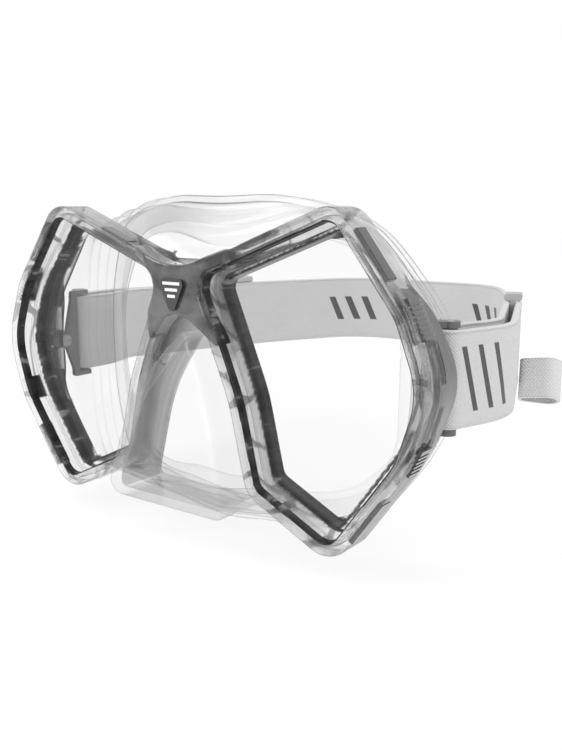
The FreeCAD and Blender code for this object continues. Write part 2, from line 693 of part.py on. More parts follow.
# ------------------------------------------------------------------ strap
# The strap comes forward on the inside, turns round the roller and runs back on the outside as a
# tail. Its straight side run is measured along the tail's middle, from the rear corner forward.
wrap = d.roller_round + d.strap_thick / 2 + 0.15
turn_y = d.roller_y - wrap
REAR_CORNER, SIDE_CORNER, FRONT_CORNER = (34.5, 161.5), (60.0, 121.0), (86.5, 47.0)
side_run = V(FRONT_CORNER[0] - SIDE_CORNER[0], FRONT_CORNER[1] - SIDE_CORNER[1], 0).normalize()
outward = V(-side_run.y, side_run.x, 0)
ply_step = (d.strap_thick + d.ply_gap).value
TAIL_END, KEEPER_PLACE, MAIN_BEND = 17.5, 14.5, 70.5


def outer_turn_x():
    """Where the tail, tangent to the wrap round the roller, meets the wrap's front line."""
    dx, dy = FRONT_CORNER[0] - d.roller_x.value, FRONT_CORNER[1] - d.roller_y.value
    lean = math.atan2(dx, dy) - math.asin(wrap.value / math.hypot(dx, dy))
    return FRONT_CORNER[0] - (FRONT_CORNER[1] - turn_y.value) * math.tan(lean)


def on_strap(along, out):
    """A point beside the strap's straight side, as (x, y)."""
    point = V(*SIDE_CORNER, 0) + side_run * along + outward * out
    return point.x, point.y


STRAP = [
    (0, REAR_CORNER[1], 0),
    (*REAR_CORNER, 28.0),
    (*on_strap(0, -ply_step), 90.0),
    (*on_strap(MAIN_BEND, -ply_step), 20.0),
    (d.roller_x - wrap, 41.0, 20.0),
    (d.roller_x - wrap, turn_y, wrap - 0.05),
    (outer_turn_x(), turn_y, wrap - 0.05),
    (*FRONT_CORNER, 28.0),
    (*on_strap(TAIL_END, 0), 0),
]


def rounded_path(sketch, corners):
    """An open path of straight runs and tangent arcs; its first and last radii are unused."""
    sharp = [V(Dim.of(x).value, Dim.of(y).value, 0) for x, y, _ in corners]
    at = sharp[0]
    for i in range(1, len(corners) - 1):
        radius = Dim.of(corners[i][2]).value
        centre, p, q = fillet_arc(sharp[i - 1], sharp[i], sharp[i + 1], radius)
        sketch.addGeometry(Part.LineSegment(at, p), False)
        start, stop = (math.atan2(v.y - centre.y, v.x - centre.x) for v in (p, q))
        if (stop - start) % (2 * math.pi) > math.pi:
            start, stop = stop, start
        rim = Part.Circle(centre, V(0, 0, 1), radius)
        sketch.addGeometry(Part.ArcOfCircle(rim, start, stop), False)
        at = q
    sketch.addGeometry(Part.LineSegment(at, sharp[-1]), False)
    return sketch


spine = rounded_path(xy_sketch("strap_spine", d.strap_z), STRAP)
section = box_outline(yz_sketch("strap_section"), REAR_CORNER[1] - d.strap_thick / 2,
                      d.strap_z - d.strap_wide / 2, REAR_CORNER[1] + d.strap_thick / 2,
                      d.strap_z + d.strap_wide / 2)
doc.recompute()
half_strap = doc.addObject("Part::Sweep", "half_strap")
half_strap.Sections = [section]
half_strap.Spine = (spine, [f"Edge{i + 1}" for i in range(len(spine.Shape.Edges))])
half_strap.Solid = True
half_strap.Transition = "Right corner"
finish(fuse("strap_both", half_strap, twin("half_strap_right", half_strap)), "strap_band")

# ------------------------------------------------------------------ keeper and pull loop
# The keeper's web lies between the strap's two plies and its rails close over their edges.
play = 0.1
low_n, high_n = -(d.strap_thick * 1.5 + d.ply_gap), d.strap_thick / 2
web_n = -(d.strap_thick + d.ply_gap) / 2
tall, hole_tall = d.keeper_tall / 2, d.strap_wide / 2 + play


def keeper_bar(name, n0, n1, z0, z1, corner):
    """A bar along the strap's run, n0 to n1 out from the tail's middle and z0 to z1 above it."""
    sketch = doc.addObject("Sketcher::SketchObject", name + "_section")
    x, y = on_strap(KEEPER_PLACE - (d.keeper_long / 2).value, 0)
    upright = FreeCAD.Rotation(outward, V(0, 0, 1), outward.cross(V(0, 0, 1)), "ZXY")
    place = V(x, y + FRONT.value, (d.strap_z + EYES).value)
    sketch.Placement = FreeCAD.Placement(place, upright)
    corners = [(n0, z0, corner), (n1, z0, corner), (n1, z1, corner), (n0, z1, corner)]
    return extruded(name, rounded_outline(sketch, corners), side_run, d.keeper_long)


web = keeper_bar("keeper_web", web_n - d.keeper_web / 2, web_n + d.keeper_web / 2, -tall + 0.5,
                 tall - 0.5, 0.3)
rails = [keeper_bar(f"keeper_rail_{i}", low_n, high_n, min(a, b, key=lambda v: v.value),
                    max(a, b, key=lambda v: v.value), 0.9)
         for i, (a, b) in enumerate(((hole_tall, tall), (-hole_tall, -tall)))]
pair(fuse("keeper", web, *rails), "strap_keeper")

# The pull loop is a closed oval of tape whose lower edge tips forward.
LOOP_TILT, LOOP_Z = 28.0, -13.0
half_wide = d.loop_wide / 2
LOOP = [
    (0, -half_wide * 0.35, 1.5), (d.loop_out * 0.8, -half_wide, 4.5), (d.loop_out, 0, 3.5),
    (d.loop_out * 0.8, half_wide, 4.5), (0, half_wide * 0.35, 1.5),
]
loop_x, loop_y = on_strap(KEEPER_PLACE, high_n.value + 0.1)
tip = FreeCAD.Rotation(outward, -LOOP_TILT)
flat = FreeCAD.Rotation(outward, V(0, 0, 1).cross(outward), V(0, 0, 1), "ZXY")
loop_axis = tip.multVec(V(0, 0, 1))
loop_middle = V(loop_x, loop_y + FRONT.value, LOOP_Z + EYES.value)
loop_sketch = doc.addObject("Sketcher::SketchObject", "loop_outline")
loop_sketch.Placement = FreeCAD.Placement(loop_middle - loop_axis * (d.tape_wide.value / 2), tip * flat)
rounded_outline(loop_sketch, LOOP)
loop_out = extruded("loop_out", loop_sketch, loop_axis, d.tape_wide)
loop_in = extruded("loop_in", offset_outline(loop_sketch, "loop_inner", -d.tape_thick), loop_axis,
                   d.tape_wide)
pair(cut("loop", loop_out, loop_in), "pull_loop")

# ------------------------------------------------------------------ check and write
doc.recompute()
for obj in doc.Objects:
    if "Invalid" in obj.State or "Error" in obj.State:
        raise RuntimeError(f"{obj.Label} failed to build")
os.makedirs(OUT, exist_ok=True)
for obj in finished:
    shape = obj.Shape
    if shape.isNull() or not shape.isValid() or len(shape.Solids) != 1:
        raise RuntimeError(f"{obj.Label} is not one valid solid")
    shape.exportStep(os.path.join(OUT, obj.Label + ".step"))
print(len(finished), "sub-parts written")
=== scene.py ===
"""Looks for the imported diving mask: materials, soft pieces, floor, light and camera.

Everything is in the frame's own metres. The clear frame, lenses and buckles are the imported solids
with materials; the skirt, strap, pull loops and bridge cover are modelled here.
"""

import math

import bmesh
import bpy
import numpy as np
from mathutils import Matrix, Vector
from mathutils.bvhtree import BVHTree


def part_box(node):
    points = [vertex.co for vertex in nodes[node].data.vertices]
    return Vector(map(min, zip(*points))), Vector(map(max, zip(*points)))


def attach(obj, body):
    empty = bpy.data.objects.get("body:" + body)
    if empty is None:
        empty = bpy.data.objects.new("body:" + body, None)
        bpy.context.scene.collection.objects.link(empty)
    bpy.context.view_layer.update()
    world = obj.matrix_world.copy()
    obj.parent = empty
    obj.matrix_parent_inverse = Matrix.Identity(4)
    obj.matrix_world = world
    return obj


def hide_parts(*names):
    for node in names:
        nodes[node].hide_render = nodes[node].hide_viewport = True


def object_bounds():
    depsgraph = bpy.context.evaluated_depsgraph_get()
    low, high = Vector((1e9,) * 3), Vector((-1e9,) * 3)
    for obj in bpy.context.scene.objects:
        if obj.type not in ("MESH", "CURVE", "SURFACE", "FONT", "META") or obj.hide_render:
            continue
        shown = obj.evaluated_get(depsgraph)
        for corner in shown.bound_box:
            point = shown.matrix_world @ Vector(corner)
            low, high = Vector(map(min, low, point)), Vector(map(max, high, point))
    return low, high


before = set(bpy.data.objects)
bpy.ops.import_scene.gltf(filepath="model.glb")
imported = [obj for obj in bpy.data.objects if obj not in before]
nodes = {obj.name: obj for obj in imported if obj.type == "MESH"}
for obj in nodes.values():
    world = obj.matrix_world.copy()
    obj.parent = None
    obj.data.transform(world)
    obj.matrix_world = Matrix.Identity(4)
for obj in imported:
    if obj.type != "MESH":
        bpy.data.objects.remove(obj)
cad_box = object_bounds()
scene = bpy.context.scene
MM = 0.001

# The middle of an eye opening, the frame's back, and where the painted shade on its inner walls
# begins: a near-black wall that stands in for the dark refraction seen through the clear plastic.
frame_low, frame_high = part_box("main_frame")
lens_low, lens_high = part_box("lens_left")
EYE_X, EYE_Z = (lens_low.x + lens_high.x) / 2, (lens_low.z + lens_high.z) / 2
FRAME_BACK = frame_high.y
PAINTED_SHADE_FROM = lens_high.y + 1.9 * MM


# ------------------------------------------------------------------ shader helpers
LOOKS_IN = -0.45  # how squarely a face looks at the middle of the eye before it counts as inner wall


def grey(value):
    return (value, value, value, 1.0)


def fill_ramp(ramp_node, stops):
    """Sets a colour ramp to grey stops, each (position, value)."""
    elements = ramp_node.color_ramp.elements
    while len(elements) < len(stops):
        elements.new(0.5)
    for element, (position, value) in zip(elements, stops):
        element.position = position
        element.color = grey(value)


class Shader:
    """A short way to build a node material."""

    def __init__(self, name):
        self.material = bpy.data.materials.new(name)
        self.material.use_nodes = True
        self.tree = self.material.node_tree
        self.tree.nodes.clear()
        self.output = self.node("ShaderNodeOutputMaterial")

    def node(self, kind, **settings):
        made = self.tree.nodes.new(kind)
        for key, value in settings.items():
            if key in made.inputs:
                made.inputs[key].default_value = value
            else:
                setattr(made, key, value)
        return made

    def link(self, source, target):
        self.tree.links.new(source, target)

    def math(self, operation, *values, clamp=False):
        """A chain link of arithmetic on sockets and plain numbers."""
        made = self.node("ShaderNodeMath", operation=operation, use_clamp=clamp)
        for slot, value in enumerate(values):
            if isinstance(value, (int, float)):
                made.inputs[slot].default_value = value
            else:
                self.link(value, made.inputs[slot])
        return made.outputs["Value"]

    def between(self, value, low, high, soft):
        """1 where value lies from low to high, with soft edges."""
        rise = self.math("DIVIDE", self.math("SUBTRACT", value, low), soft, clamp=True)
        fall = self.math("DIVIDE", self.math("SUBTRACT", high, value), soft, clamp=True)
        return self.math("MULTIPLY", rise, fall)

    def ramp(self, factor, *stops):
        """factor turned into a grey by stops, each (position, value)."""
        made = self.node("ShaderNodeValToRGB")
        fill_ramp(made, stops)
        self.link(factor, made.inputs["Fac"])
        return made.outputs["Color"]

    def mix(self, factor, first, second):
        made = self.node("ShaderNodeMixShader")
        if isinstance(factor, (int, float)):
            made.inputs["Fac"].default_value = factor
        else:
            self.link(factor, made.inputs["Fac"])
        self.link(first, made.inputs[1])
        self.link(second, made.inputs[2])
        return made.outputs["Shader"]

    def bump(self, height, strength, distance):
        made = self.node("ShaderNodeBump", Strength=strength, Distance=distance)
        self.link(height, made.inputs["Height"])
        return made.outputs["Normal"]

    def noise(self, scale, detail=3.0, stretch=(1, 1, 1)):
        place = self.node("ShaderNodeTexCoord")
        spread = self.node("ShaderNodeMapping")
        spread.inputs["Scale"].default_value = stretch
        self.link(place.outputs["Object"], spread.inputs["Vector"])
        made = self.node("ShaderNodeTexNoise", Scale=scale, Detail=detail)
        self.link(spread.outputs["Vector"], made.inputs["Vector"])
        return made.outputs["Fac"]

    def sheen_of_edge(self, straight, power):
        """How much a clear sheet mirrors: little face on, nearly all at a grazing look."""
        facing = self.node("ShaderNodeLayerWeight", Blend=0.5).outputs["Facing"]
        grazing = self.math("POWER", facing, power)
        return self.math("ADD", self.math("MULTIPLY", grazing, 1 - straight), straight, clamp=True)

    def surface(self, socket):
        self.link(socket, self.output.inputs["Surface"])
        return self.material

    def inner_wall(self, front):
        """1 on faces behind front that look in towards the middle of the nearer eye opening."""
        geometry = self.node("ShaderNodeNewGeometry")
        place = self.node("ShaderNodeSeparateXYZ")
        self.link(geometry.outputs["Position"], place.inputs[0])
        normal = self.node("ShaderNodeSeparateXYZ")
        self.link(geometry.outputs["True Normal"], normal.inputs[0])
        side = self.math("SIGN", place.outputs["X"])
        across = self.math("SUBTRACT", self.math("ABSOLUTE", place.outputs["X"]), EYE_X)
        up = self.math("SUBTRACT", place.outputs["Z"], EYE_Z)
        reach = self.math("SQRT", self.math("ADD", self.math("MULTIPLY", across, across),
                                            self.math("MULTIPLY", up, up)))
        sideways = self.math("MULTIPLY", normal.outputs["X"], side)
        toward = self.math("ADD", self.math("MULTIPLY", sideways, across),
                           self.math("MULTIPLY", normal.outputs["Z"], up))
        facing = self.math("DIVIDE", toward, reach)
        looks_in = self.math("LESS_THAN", facing, LOOKS_IN)
        from_air = self.math("SUBTRACT", 1.0, geometry.outputs["Backfacing"])
        behind = self.math("GREATER_THAN", place.outputs["Y"], front)
        return self.math("MULTIPLY", self.math("MULTIPLY", looks_in, behind), from_air)


# ------------------------------------------------------------------ materials
POCKET_SHADE = 0.42
PRINT_TONE = 0.06


def painted_wall_shade(sh):
    """Painted shade on the polished inside wall of an eye opening: near-black, with painted reflection
    streaks along its depth, standing in for the dark refraction seen through the clear plastic.
    """
    streak = sh.noise(260.0, 4.0, (1, 0.25, 1))
    body = sh.node("ShaderNodeBsdfPrincipled", Roughness=0.25)
    sh.link(sh.ramp(streak, (0.35, 0.004), (0.62, 0.03), (0.72, 0.22)), body.inputs["Base Color"])
    body.inputs["Specular IOR Level"].default_value = 0.25
    return body.outputs["BSDF"]


def clear_plastic(name, tint, rough, wall_front, bend, painted_line_strength):
    """Solid clear polycarbonate with moulding ripples, painted dark lines on faces seen from inside,
    painted dark edges at grazing angles and painted shade on its inner wall, all standing in for the
    refraction of the clear plastic.
    """
    sh = Shader(name)
    ripple = sh.bump(sh.noise(420.0, 2.0), 0.05, 0.0002)
    glass = sh.node("ShaderNodeBsdfGlass", Roughness=rough, IOR=1.30, Color=grey(tint))
    sh.link(ripple, glass.inputs["Normal"])
    facing = sh.node("ShaderNodeLayerWeight", Blend=0.5).outputs["Facing"]
    through = sh.node("ShaderNodeBsdfTransparent")
    # Painted shade: thin dark contour lines from noise, drawn only on faces seen from inside, stand in
    # for the dark refraction lines in the clear rims.
    painted_lines = sh.ramp(sh.noise(52.0, 0.0), (0.478, 1.0), (0.484, 0.15), (0.520, 0.15), (0.526, 1.0))
    behind = sh.node("ShaderNodeNewGeometry").outputs["Backfacing"]
    dark = sh.math("MULTIPLY", sh.math("SUBTRACT", 1.0, painted_lines), sh.math("MULTIPLY", behind, painted_line_strength))
    # Painted shade: the see-through colour falls to near black at grazing angles, standing in for the
    # dark edges that refraction draws.
    tone = sh.math("MULTIPLY", sh.math("SUBTRACT", 1.0, dark),
                   sh.ramp(facing, (0.0, tint), (0.50, 0.96), (0.70, 0.6), (0.84, 0.05)))
    sh.link(tone, through.inputs["Color"])
    gloss = sh.node("ShaderNodeBsdfGlossy", Roughness=rough + 0.03)
    sh.link(ripple, gloss.inputs["Normal"])
    sheet = sh.mix(sh.sheen_of_edge(0.04, 4.0), through.outputs["BSDF"], gloss.outputs["BSDF"])
    body = sh.mix(bend, sheet, glass.outputs["BSDF"])
    # painted shade: inner-wall faces behind wall_front take the near-black painted wall
    return sh.surface(sh.mix(sh.inner_wall(wall_front), body, painted_wall_shade(sh)))


def lens_material():
    """Clear glass that doesn't bend the view: clear face on, with a soft grey line edge on that is
    painted shade for the refraction at the glass's edge.
    """
    sh = Shader("lens_glass")
    facing = sh.node("ShaderNodeLayerWeight", Blend=0.3)
    through = sh.node("ShaderNodeBsdfTransparent")
    # painted shade: grey at grazing angles
    sh.link(sh.ramp(facing.outputs["Facing"], (0.0, 0.985), (0.85, 0.95), (1.0, 0.5)),
            through.inputs["Color"])
    smear = sh.bump(sh.noise(30.0, 2.0), 0.02, 0.001)
    gloss = sh.node("ShaderNodeBsdfGlossy", Roughness=0.02)
    sh.link(smear, gloss.inputs["Normal"])
    mirror = sh.sheen_of_edge(0.02, 5.0)
    return sh.surface(sh.mix(mirror, through.outputs["BSDF"], gloss.outputs["BSDF"]))


def silicone_material():
    """Clear silicone: see-through face on, with painted shade that turns it grey at its rolled edges
    and grazing angles, and a faint milky haze.
    """
    sh = Shader("silicone")
    facing = sh.node("ShaderNodeLayerWeight", Blend=0.35)
    through = sh.node("ShaderNodeBsdfTransparent")
    # painted shade: the see-through colour darkens at grazing angles, standing in for refraction at
    # the rolled edges
    clear = sh.ramp(facing.outputs["Facing"],
                    (0.0, 0.99), (0.45, 0.96), (0.68, 0.78), (0.85, 0.35), (1.0, 0.10))
    # painted shade: the pocket's inner walls, seen from outside, are dimmed by POCKET_SHADE
    pocket = sh.node("ShaderNodeAttribute", attribute_name="pocket")
    outside = sh.math("SUBTRACT", 1.0, sh.node("ShaderNodeNewGeometry").outputs["Backfacing"])
    shade = sh.math("MULTIPLY", sh.math("MULTIPLY", pocket.outputs["Fac"], outside), POCKET_SHADE)
    dimmed = sh.node("ShaderNodeVectorMath", operation="SCALE")
    sh.link(clear, dimmed.inputs[0])
    sh.link(sh.math("SUBTRACT", 1.0, shade), dimmed.inputs["Scale"])
    sh.link(dimmed.outputs[0], through.inputs["Color"])
    milk = sh.node("ShaderNodeBsdfTranslucent", Color=grey(0.95))
    body = sh.mix(0.025, through.outputs["BSDF"], milk.outputs["BSDF"])
    soft = sh.bump(sh.noise(160.0, 3.0), 0.05, 0.0004)
    gloss = sh.node("ShaderNodeBsdfGlossy", Roughness=0.14)
    sh.link(soft, gloss.inputs["Normal"])
    skin = sh.mix(sh.sheen_of_edge(0.025, 4.0), body, gloss.outputs["BSDF"])
    # painted shade: skin marked where it lines the frame takes the near-black painted wall
    neck = sh.node("ShaderNodeAttribute", attribute_name="neck")
    return sh.surface(sh.mix(neck.outputs["Fac"], skin, painted_wall_shade(sh)))


def moulded(name, colour, rough, coat=0.0):
    """Opaque moulded plastic with a faint uneven surface and slight tone changes."""
    sh = Shader(name)
    body = sh.node("ShaderNodeBsdfPrincipled", Roughness=rough)
    tone = sh.noise(60.0, 2.0)
    sh.link(sh.ramp(tone, (0.3, colour * 0.8), (0.7, colour * 1.2)), body.inputs["Base Color"])
    sh.link(sh.bump(sh.noise(900.0), 0.02, 0.0002), body.inputs["Normal"])
    body.inputs["Coat Weight"].default_value = coat
    return sh.surface(body.outputs["BSDF"])


def smoky(name, dark, light, rough, streaks):
    """Smoke-tinted polished plastic: streaky depth under a hard gloss."""
    sh = Shader(name)
    body = sh.node("ShaderNodeBsdfPrincipled", Roughness=rough, IOR=1.5)
    cloud = sh.noise(90.0, 3.0, streaks)
    sh.link(sh.ramp(cloud, (0.36, dark), (0.5, (dark + light) / 2), (0.64, light)),
            body.inputs["Base Color"])
    body.inputs["Coat Weight"].default_value = 1.0
    body.inputs["Transmission Weight"].default_value = 0.35
    return sh.surface(body.outputs["BSDF"])


def brushed(name, colour):
    """Brushed steel: fine lines along z."""
    sh = Shader(name)
    body = sh.node("ShaderNodeBsdfPrincipled", Roughness=0.28, Metallic=1.0)
    body.inputs["Base Color"].default_value = grey(colour)
    sh.link(sh.bump(sh.noise(1500.0, 2.0, (1, 1, 0.05)), 0.12, 0.0002), body.inputs["Normal"])
    return sh.surface(body.outputs["BSDF"])


def woven(name, colour, pitch, prints=()):
    """Elastic webbing: twill ridges in bump, a tone that follows their height, darker in the grooves
    as painted shade, with random fuzz, and groups of plain printed bars.

    A group is (middle, count, step, thick, tall, lean): where its middle lies along the tape, how many
    bars, their spacing, each bar's share of it, their height, and how far they lean for that height.
    """
    sh = Shader(name)
    uv = sh.node("ShaderNodeUVMap", uv_map="weave")
    split = sh.node("ShaderNodeSeparateXYZ")
    sh.link(uv.outputs["UV"], split.inputs[0])
    along, up = split.outputs["X"], split.outputs["Y"]
    slant = sh.math("ADD", along, sh.math("MULTIPLY", up, 0.8))
    twill = sh.math("SINE", sh.math("MULTIPLY", slant, math.tau / pitch))
    cross = sh.math("SINE", sh.math("MULTIPLY", up, math.tau / (pitch * 0.7)))
    height = sh.math("ADD", twill, sh.math("MULTIPLY", cross, 0.6))
    fuzz = sh.noise(2200.0, 3.0)
    height = sh.math("ADD", height, sh.math("MULTIPLY", fuzz, 0.9))
    # painted shade: tone follows the weave's height, darker in its grooves; the fuzz in it is random
    # tone
    tone = sh.math("ADD", sh.math("MULTIPLY", height, 0.028), colour)
    for middle, count, step, thick, tall, lean in prints:
        local = sh.math("ADD", sh.math("SUBTRACT", along, middle), sh.math("MULTIPLY", up, lean))
        cell = sh.math("FRACT", sh.math("DIVIDE", sh.math("ADD", local, count * step / 2), step))
        bars = sh.between(cell, 0.5 - thick / 2, 0.5 + thick / 2, 0.02)
        zone = sh.between(local, -count * step / 2, count * step / 2, 0.0001)
        band = sh.between(up, -tall / 2, tall / 2, 0.0003)
        ink = sh.math("MULTIPLY", bars, sh.math("MULTIPLY", zone, band))
        tone = sh.math("ADD", sh.math("MULTIPLY", tone, sh.math("SUBTRACT", 1.0, ink)),
                       sh.math("MULTIPLY", ink, PRINT_TONE))
    body = sh.node("ShaderNodeBsdfPrincipled", Roughness=0.85)
    paint = sh.node("ShaderNodeCombineColor")
    for channel in range(3):
        sh.link(tone, paint.inputs[channel])
    sh.link(paint.outputs["Color"], body.inputs["Base Color"])
    body.inputs["Sheen Weight"].default_value = 0.3
    sh.link(sh.bump(height, 0.5, 0.00012), body.inputs["Normal"])
    return sh.surface(body.outputs["BSDF"])


def dress(obj, material):
    obj.data.materials.clear()
    obj.data.materials.append(material)


clear_frame = clear_plastic("clear_frame", 0.985, 0.03, PAINTED_SHADE_FROM, 0.25, 0.9)
clear_rim = clear_plastic("clear_rim", 0.99, 0.01, 0.0, 0.25, 0.6)
lens_glass = lens_material()
silicone = silicone_material()
dark_key = moulded("dark_key", 0.03, 0.25, coat=0.6)
smoke = smoky("smoke_trim", 0.02, 0.17, 0.13, (1, 1, 1.6))
buckle = smoky("smoke_buckle", 0.025, 0.09, 0.14, (1, 2, 0.6))
badge_black = moulded("badge_black", 0.008, 0.12, coat=1.0)
badge_white = moulded("badge_white", 0.85, 0.2, coat=0.5)
steel = brushed("steel", 0.3)
grey_plastic = moulded("grey_plastic", 0.11, 0.4)
keeper_plastic = moulded("keeper_plastic", 0.4, 0.4)

LOOKS = {
    "bezel": clear_rim, "main_frame": clear_frame, "lens": lens_glass, "bridge_trim": smoke,
    "nose_badge": badge_black, "badge_bar": badge_white, "skirt": silicone,
    "temple_carrier": buckle, "swivel_link": grey_plastic, "release_button": buckle,
    "temple_key": dark_key, "brow_key": dark_key, "cheek_key": dark_key,
    "pivot_stud": steel, "roller_pin": steel, "strap_roller": grey_plastic,
    "strap_keeper": keeper_plastic, "strap_band": grey_plastic, "pull_loop": grey_plastic,
}
for name, obj in nodes.items():
    dress(obj, LOOKS[next(key for key in LOOKS if name.startswith(key))])


# ------------------------------------------------------------------ mesh helpers
def new_object(name, mesh, material):
    obj = bpy.data.objects.new(name, mesh)
    scene.collection.objects.link(obj)
    dress(obj, material)
    mesh.shade_smooth()
    return obj


def apply_modifiers(obj):
    """Bakes the modifiers of obj into a mesh of its own."""
    graph = bpy.context.evaluated_depsgraph_get()
    baked = bpy.data.meshes.new_from_object(obj.evaluated_get(graph))
    obj.modifiers.clear()
    obj.data = baked


def soften(obj, material, voxel, passes):
    """Remeshes obj finely and relaxes it, so that every edge is rolled."""
    remesh = obj.modifiers.new("remesh", "REMESH")
    remesh.mode = "VOXEL"
    remesh.voxel_size = voxel
    relax = obj.modifiers.new("relax", "SMOOTH")
    relax.factor = 0.5
    relax.iterations = passes
    apply_modifiers(obj)
    dress(obj, material)
    obj.data.shade_smooth()


def smoothstep(value, low, high):
    t = np.clip((value - low) / (high - low), 0, 1)
    return t * t * (3 - 2 * t)


# ------------------------------------------------------------------ skirt
FACE_RADIUS, FACE_START = 130 * MM, 25 * MM
TURNS, DEPTHS = 360, 40
ROUND_PASSES, DEPTH_PASSES, REAR_PASSES = 60, 12, 6
BOWL_FRONT, SEAM = FRAME_BACK + 0.5 * MM, FRAME_BACK + 1.2 * MM
REAR_GAP, WALL, OPEN_ROWS = 1.0 * MM, 1.7 * MM, 4
CROWN_TALL, CROWN_WIDE = 1.8 * MM, 20 * MM
TUCK_DEEP, TUCK_AT, TUCK_WIDE = 3.6 * MM, 24 * MM, 15 * MM
RIDGE_STEP, RIDGE_TALL, RIDGE_REACH = 4.2 * MM, 0.95 * MM, 17.5 * MM

# The rear lip closes the bowl. The second one grows from the wall a few rows in front of it.
LIP_POINTS, LIP_WIDE, LIP_THICK, LIP_TIP = 7, 8.5 * MM, 0.9 * MM, 0.45 * MM
REAR_LIP_IN, REAR_LIP_LIFT, REAR_LIP_THICK = 0.7 * MM, 0.3 * MM, 1.6 * MM
SECOND_LIP_ROW, SECOND_LIP_OUT, SECOND_LIP_LIFT, SECOND_LIP_SHARE = 6, 0.2 * MM, 4.2 * MM, 1.35

NECK_BEHIND, NECK_REACH, NECK_FACING = 2.5 * MM, 3.2 * MM, 0.3
POCKET_HALF, POCKET_TOP = 27 * MM, -10 * MM


def tree_of(node):
    data = nodes[node].data
    return BVHTree.FromPolygons([v.co for v in data.vertices], [p.vertices[:] for p in data.polygons])


def face_depth(x):
    """How far back the wearer's face lies at x, as an upright cylinder."""
    return FACE_START + FACE_RADIUS - np.sqrt(FACE_RADIUS ** 2 - np.square(x))


def averaged(grid, passes, axis, round_trip):
    """grid with each value moved towards the mean of its neighbours along axis."""
    for _ in range(passes):
        before, after = np.roll(grid, 1, axis), np.roll(grid, -1, axis)
        calm = (before + 2 * grid + after) / 4
        if not round_trip:
            calm[:, 0], calm[:, -1] = grid[:, 0], grid[:, -1]
        grid = calm
    return grid


def bowl_shape():
    """The skirt's outer surface as radii and depths on a grid of directions and steps back."""
    solid = tree_of("skirt")
    angles = np.arange(TURNS) * math.tau / TURNS
    radii, depths = np.zeros((TURNS, DEPTHS)), np.zeros((TURNS, DEPTHS))

    def reach(angle, depth):
        way = Vector((math.cos(angle), 0, math.sin(angle)))
        hit = solid.ray_cast(Vector((0, depth, EYE_Z)) + way * 0.2, -way)[0]
        return math.hypot(hit.x, hit.z - EYE_Z) if hit else None

    for i, angle in enumerate(angles):
        radius = reach(angle, FACE_START - REAR_GAP)
        rear = float(face_depth(radius * math.cos(angle))) - REAR_GAP
        for j in range(DEPTHS):
            depths[i, j] = BOWL_FRONT + (rear - BOWL_FRONT) * j / (DEPTHS - 1)
            radius = reach(angle, depths[i, j]) or radius
            radii[i, j] = radius
    radii = averaged(averaged(radii, ROUND_PASSES, 0, True), DEPTH_PASSES, 1, False)
    across, up = radii * np.cos(angles)[:, None], np.sin(angles)[:, None]
    back_share = (np.arange(DEPTHS) / (DEPTHS - 1)) ** 2
    crown = CROWN_TALL * np.exp(-np.square(across / CROWN_WIDE)) * (up > 0) * back_share
    tuck = TUCK_DEEP * np.exp(-np.square((np.abs(across) - TUCK_AT) / TUCK_WIDE)) * (up < 0)
    return angles, radii + crown - tuck, averaged(depths, REAR_PASSES, 0, True)


def swept_ring(mesh, angles, sections):
    """Adds a closed ring whose section at each angle is a closed list of (radius, depth)."""
    rings = []
    for angle, section in zip(angles, sections):
        rings.append([mesh.verts.new((r * math.cos(angle), y, EYE_Z + r * math.sin(angle)))
                      for r, y in section])
    for near, far in zip(rings, rings[1:] + rings[:1]):
        for k in range(len(near)):
            j = (k + 1) % len(near)
            mesh.faces.new((near[k], near[j], far[j], far[k]))


def lip(angle, root, wide, lift, root_thick):
    """The two sides of a feathered lip that runs inwards along the face from radius root."""
    back, front = [], []
    for share in np.linspace(0, 1, LIP_POINTS):
        r = root - wide * share
        thick = root_thick + (LIP_TIP - root_thick) * share
        y = float(face_depth(r * math.cos(angle))) - lift * (1 - share)
        back.append((r, y))
        front.append((r, y - thick))
    return back, front[::-1]


def bowl_sections():
    """Sections of the ridged bowl with its rear lip, and of the second lip, at each angle."""
    angles, radii, depths = bowl_shape()
    outer_ring, inner_ring = [], []
    for angle, rim, depth in zip(angles, radii, depths):
        left = depth[-1] - depth
        fade = 1 - smoothstep(left, RIDGE_REACH - RIDGE_STEP, RIDGE_REACH)
        ridge = RIDGE_TALL * fade * (0.5 - 0.5 * np.cos(left * math.tau / RIDGE_STEP))
        outer = [(r + g, y) for r, g, y in zip(rim, ridge, depth)]
        inner = [(r - WALL, y) for r, y in zip(rim[:-OPEN_ROWS], depth[:-OPEN_ROWS])]
        wide = LIP_WIDE * (0.35 + 0.65 * abs(math.sin(angle)))
        back, front = lip(angle, rim[-1] - REAR_LIP_IN, wide, REAR_LIP_LIFT, REAR_LIP_THICK)
        outer_ring.append(outer + back + front[:-1] + inner[::-1])
        root = rim[-SECOND_LIP_ROW] - WALL + SECOND_LIP_OUT
        back, front = lip(angle, root, wide * SECOND_LIP_SHARE, SECOND_LIP_LIFT, LIP_THICK)
        inner_ring.append(back + front)
    return angles, outer_ring, inner_ring


def cut_behind(obj, depth):
    """Trims away what lies behind depth, and closes the cut."""
    mesh = bmesh.new()
    mesh.from_mesh(obj.data)
    cut = bmesh.ops.bisect_plane(mesh, geom=mesh.verts[:] + mesh.edges[:] + mesh.faces[:],
                                 plane_co=(0, depth, 0), plane_no=(0, 1, 0), clear_outer=True)
    edges = [e for e in cut["geom_cut"] if isinstance(e, bmesh.types.BMEdge)]
    bmesh.ops.triangle_fill(mesh, edges=edges, use_beauty=True)
    mesh.to_mesh(obj.data)
    mesh.free()


